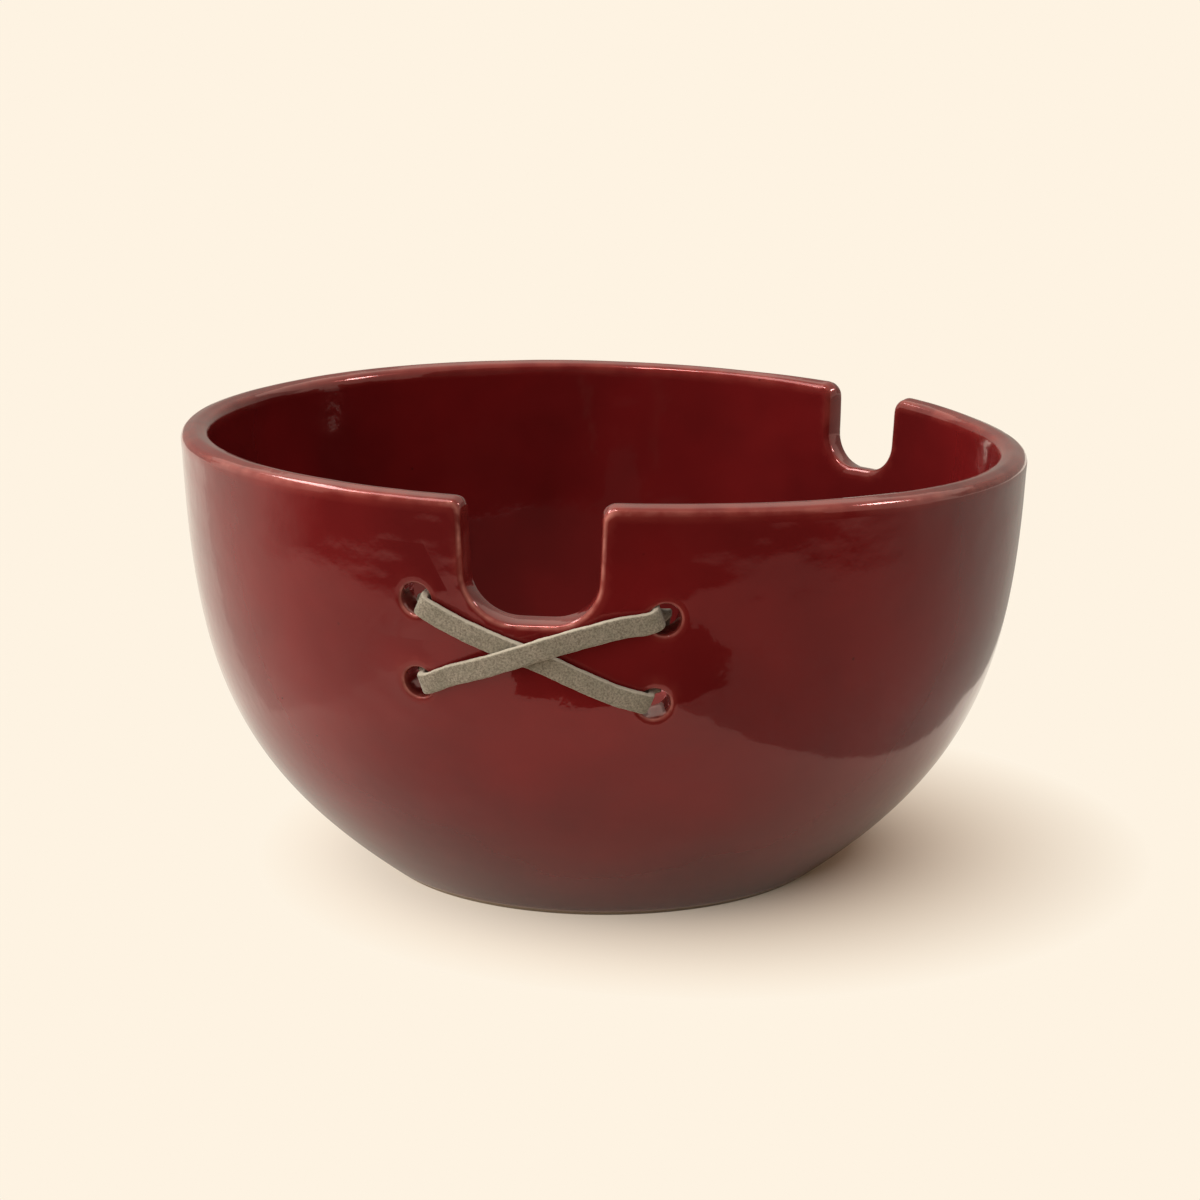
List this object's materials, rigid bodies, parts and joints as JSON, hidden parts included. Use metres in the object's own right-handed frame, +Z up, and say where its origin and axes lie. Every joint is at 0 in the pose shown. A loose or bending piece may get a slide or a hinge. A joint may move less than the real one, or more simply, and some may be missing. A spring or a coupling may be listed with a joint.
{
  "type": "yarn bowl",
  "caption": "Deep round glazed stoneware bowl that holds a ball of yarn, with open notches in its rim that guide the strand and a flat suede lace crossed under the larger notch.",
  "frame": {"origin": "middle of the foot, on the surface that the bowl stands on", "axes": "+Z up along the bowl's axis; -Y towards the larger front notch and the crossed lace; +X to the right of someone facing that notch"},
  "size_m": [0.1678, 0.1696, 0.0888],
  "materials": {
    "glaze": "gloss oxblood glaze over stoneware",
    "suede": "napped suede, grey-olive"
  },
  "bodies": {
    "root": {"bowl": "glaze", "lace": "suede", "lace_knot": "suede"}
  },
  "joints": []
}
